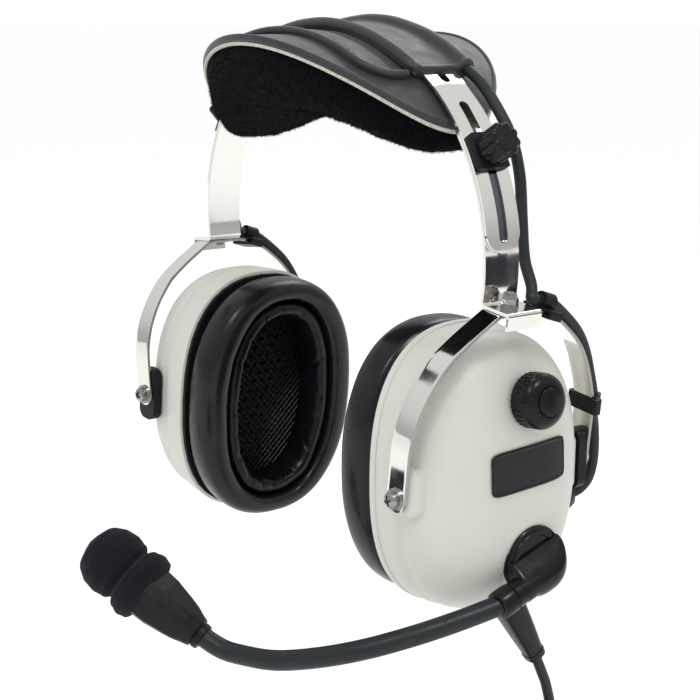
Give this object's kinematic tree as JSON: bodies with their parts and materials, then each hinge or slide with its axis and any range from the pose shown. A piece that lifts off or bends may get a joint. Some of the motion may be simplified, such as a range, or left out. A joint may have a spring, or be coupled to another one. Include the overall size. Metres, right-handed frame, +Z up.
{
  "type": "aviation headset",
  "caption": "Aviation headset with a sprung steel headband, fleece head pad, sliding arms, tilting ear cups with oval seals, and a microphone boom on the left cup.",
  "frame": {"origin": "underside of the head pad at the crown, where it rests on the head", "axes": "+Z up, +X to the wearer's left, on the microphone's side, -Y towards the wearer's face"},
  "size_m": [0.2399, 0.1799, 0.3896],
  "materials": {
    "chrome_steel": "bright rolled spring steel",
    "bright_screws": "zinc plated",
    "black_plastic": "fine moulded grain",
    "gloss_black": "polished",
    "cup_cream": "satin moulded",
    "pad_leather": "satin, stitched",
    "pad_fleece": "deep pile",
    "seal_vinyl": "glossy soft vinyl",
    "liner_foam": "open foam",
    "cable_rubber": "matt",
    "plug_metal": "turned",
    "speaker_metal": "matt",
    "board_green": "coated",
    "label_grey": "anodised, blank"
  },
  "bodies": {
    "headband": {"headband_spring": "chrome_steel", "band_sleeve": "pad_leather", "sleeve_flap": "pad_leather", "head_pad_cover": "pad_leather", "head_pad_fleece": "pad_fleece", "crossover_cable_top": "cable_rubber"},
    "arm_left": {"slider_arm_left": "chrome_steel", "clamp_plate_left": "black_plastic", "foot_bolt_left": "bright_screws", "crossover_cable_rise_left": "cable_rubber"},
    "clamp_knob_left": {"clamp_knob_left": "gloss_black"},
    "stirrup_left": {"stirrup_left": "chrome_steel", "cable_clips_left": "black_plastic", "crossover_cable_loop_left": "cable_rubber"},
    "cup_left": {"cup_shell_left": "cup_cream", "pivot_screws_left": "bright_screws", "pivot_pad_left": "black_plastic", "seal_plate_left": "black_plastic", "ear_seal_left": "seal_vinyl", "seal_liner_left": "liner_foam", "speaker_left": "speaker_metal", "noise_board_left": "board_green", "cable_grommet_left": "cable_rubber", "volume_pot": "speaker_metal", "label_plate": "label_grey", "boom_base": "black_plastic", "strain_relief": "cable_rubber", "cord_lead": "cable_rubber", "cord_coil": "cable_rubber", "cord_tail": "cable_rubber", "cord_plug": "plug_metal"},
    "arm_right": {"slider_arm_right": "chrome_steel", "clamp_plate_right": "black_plastic", "foot_bolt_right": "bright_screws", "crossover_cable_rise_right": "cable_rubber"},
    "clamp_knob_right": {"clamp_knob_right": "gloss_black"},
    "stirrup_right": {"stirrup_right": "chrome_steel", "cable_clips_right": "black_plastic", "crossover_cable_loop_right": "cable_rubber"},
    "cup_right": {"cup_shell_right": "cup_cream", "pivot_screws_right": "bright_screws", "pivot_pad_right": "black_plastic", "seal_plate_right": "black_plastic", "ear_seal_right": "seal_vinyl", "seal_liner_right": "liner_foam", "speaker_right": "speaker_metal", "noise_board_right": "board_green", "cable_grommet_right": "cable_rubber"},
    "volume_knob": {"volume_knob": "black_plastic"},
    "boom": {"boom_swivel": "black_plastic", "boom_collar": "black_plastic", "boom_tube": "cable_rubber", "mic_housing": "black_plastic", "mic_capsule": "bright_screws", "mic_windscreen": "pad_fleece"}
  },
  "joints": [
    {"name": "slide_left", "type": "hinge", "parent": "headband", "child": "arm_left", "pos_m": [0.01362, 0, -0.0509], "axis": [0, 1, 0], "range_deg": [-9, 20], "deforming": ["crossover_cable_rise_left"]},
    {"name": "clamp_left", "type": "hinge", "parent": "arm_left", "child": "clamp_knob_left", "pos_m": [0.08219, 0, -0.00969], "axis": [0.8572, 0, 0.515], "range_deg": [0, 270]},
    {"name": "yaw_left", "type": "hinge", "parent": "arm_left", "child": "stirrup_left", "pos_m": [0.09662, 0, -0.064], "axis": [0.1045, 0, 0.9945], "range_deg": [-5, 5]},
    {"name": "tilt_left", "type": "hinge", "parent": "stirrup_left", "child": "cup_left", "pos_m": [0.08989, 0, -0.12795], "axis": [0, 1, 0], "range_deg": [-11, 23], "deforming": ["crossover_cable_loop_left"]},
    {"name": "slide_right", "type": "hinge", "parent": "headband", "child": "arm_right", "pos_m": [-0.01362, 0, -0.0509], "axis": [0, -1, 0], "range_deg": [-9, 20], "deforming": ["crossover_cable_rise_right"]},
    {"name": "clamp_right", "type": "hinge", "parent": "arm_right", "child": "clamp_knob_right", "pos_m": [-0.08219, 0, -0.00969], "axis": [-0.8572, 0, 0.515], "range_deg": [0, 270]},
    {"name": "yaw_right", "type": "hinge", "parent": "arm_right", "child": "stirrup_right", "pos_m": [-0.09662, 0, -0.064], "axis": [-0.1045, 0, 0.9945], "range_deg": [-8.4, 1.6]},
    {"name": "tilt_right", "type": "hinge", "parent": "stirrup_right", "child": "cup_right", "pos_m": [-0.08989, 0, -0.12795], "axis": [-0.059, 0.9982, -0.0062], "range_deg": [-27.5, 6.5], "deforming": ["crossover_cable_loop_right"]},
    {"name": "volume_turn", "type": "hinge", "parent": "cup_left", "child": "volume_knob", "pos_m": [0.10463, 0.0036, -0.09595], "axis": [0.9925, 0, 0.1219], "range_deg": [-150, 150]},
    {"name": "boom_swing", "type": "hinge", "parent": "cup_left", "child": "boom", "pos_m": [0.10382, 0.007, -0.15645], "axis": [1, 0, 0], "range_deg": [-36, 50]}
  ]
}
